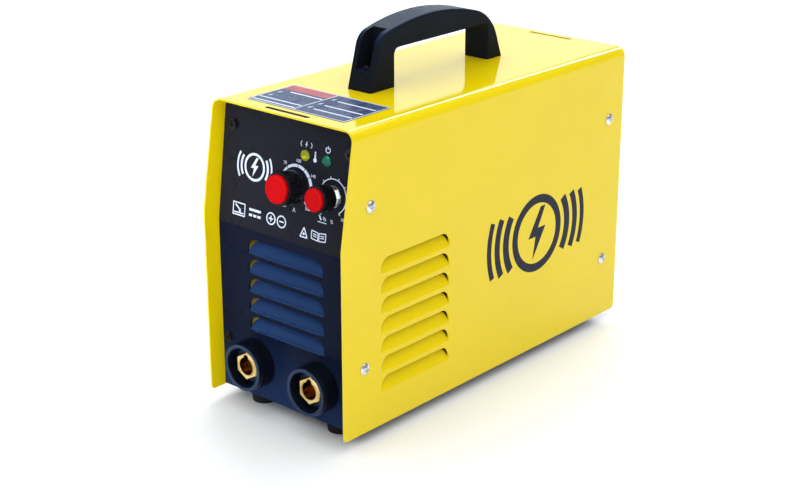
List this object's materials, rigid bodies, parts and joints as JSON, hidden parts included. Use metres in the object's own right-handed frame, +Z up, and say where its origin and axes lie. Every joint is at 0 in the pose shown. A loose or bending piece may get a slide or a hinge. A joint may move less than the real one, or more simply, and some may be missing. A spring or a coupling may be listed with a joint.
{
  "type": "stick welding inverter",
  "caption": "Portable stick welding inverter: folded steel case, louvres, bridge handle, control knobs, twist-lock output sockets, rear fan and rocker switch.",
  "frame": {"origin": "on the floor under the feet, at the centre of the bounding box", "axes": "+Z up, +Y from the control panel towards the fan at the rear, +X to the right when facing the control panel"},
  "size_m": [0.135, 0.3274, 0.2669],
  "materials": {
    "cover_paint": "gloss",
    "panel_paint": "satin",
    "handle_plastic": "satin",
    "zinc": "satin",
    "black_screw": "satin",
    "foot_rubber": "matte",
    "knob_plastic": "matte",
    "cap_plastic": "satin",
    "fault_lens": "gloss",
    "power_lens": "gloss",
    "package_plastic": "matte",
    "circuit_board": "satin",
    "socket_plastic": "satin",
    "brass": "polished",
    "copper": "satin",
    "insulator": "matte",
    "fan_plastic": "matte",
    "guard_wire": "gloss",
    "switch_plastic": "satin",
    "rocker_plastic": "gloss",
    "gland_plastic": "satin",
    "aluminium": "satin",
    "ferrite": "matte",
    "capacitor_sleeve": "gloss",
    "relay_case": "gloss",
    "label_film": "satin"
  },
  "bodies": {
    "chassis": {"cover": "cover_paint", "base_tray": "panel_paint", "front_panel": "panel_paint", "rear_panel": "panel_paint", "handle": "handle_plastic", "handle_bolts": "black_screw", "handle_nuts": "zinc", "feet": "foot_rubber", "foot_screws": "zinc", "side_screws": "zinc", "front_panel_screws": "black_screw", "small_nuts": "zinc", "potentiometers": "zinc", "potentiometer_nuts": "zinc", "fault_lamp_lens": "fault_lens", "power_lamp_lens": "power_lens", "lamp_retainers": "knob_plastic", "lamp_diodes": "package_plastic", "front_board": "circuit_board", "socket_housings": "socket_plastic", "socket_inserts": "brass", "socket_collars": "socket_plastic", "socket_screws": "zinc", "bus_bars": "copper", "insulating_plate": "insulator", "fan_frame": "fan_plastic", "fan_guard": "guard_wire", "fan_screws": "zinc", "power_switch_housing": "switch_plastic", "switch_terminals": "brass", "cable_gland": "gland_plastic", "gland_nut": "gland_plastic", "earth_stud": "brass", "output_board": "circuit_board", "inverter_board": "circuit_board", "board_spacers": "zinc", "board_screws": "zinc", "output_heat_sink": "aluminium", "inverter_heat_sink": "aluminium", "output_diodes": "package_plastic", "power_transistors": "package_plastic", "transformer_core": "ferrite", "transformer_winding": "copper", "choke_core": "ferrite", "choke_winding": "copper", "filter_capacitors": "capacitor_sleeve", "bridge_rectifier": "package_plastic", "inrush_relay": "relay_case", "gate_driver_board": "circuit_board", "current_sensor": "package_plastic", "top_label": "label_film", "rear_label": "label_film"},
    "current_dial": {"current_knob": "knob_plastic", "current_knob_cap": "cap_plastic", "current_shaft": "zinc"},
    "force_dial": {"force_knob": "knob_plastic", "force_knob_cap": "cap_plastic", "force_shaft": "zinc"},
    "switch_rocker": {"power_switch_rocker": "rocker_plastic"},
    "fan": {"fan_rotor": "fan_plastic"}
  },
  "joints": [
    {"name": "current_knob_turn", "type": "hinge", "parent": "chassis", "child": "current_dial", "pos_m": [0.0072, -0.14361, 0.1718], "axis": [0, 0.9919, -0.1271], "range_deg": [0, 288]},
    {"name": "force_knob_turn", "type": "hinge", "parent": "chassis", "child": "force_dial", "pos_m": [0.041, -0.14358, 0.172], "axis": [0, 0.9919, -0.1271], "range_deg": [0, 290]},
    {"name": "rocker_tip", "type": "hinge", "parent": "chassis", "child": "switch_rocker", "pos_m": [0.026, 0.13965, 0.176], "axis": [1, 0, 0], "range_deg": [0, 24]},
    {"name": "fan_spin", "type": "hinge", "parent": "chassis", "child": "fan", "pos_m": [0, 0.12965, 0.078], "axis": [0, 1, 0], "continuous": true}
  ]
}
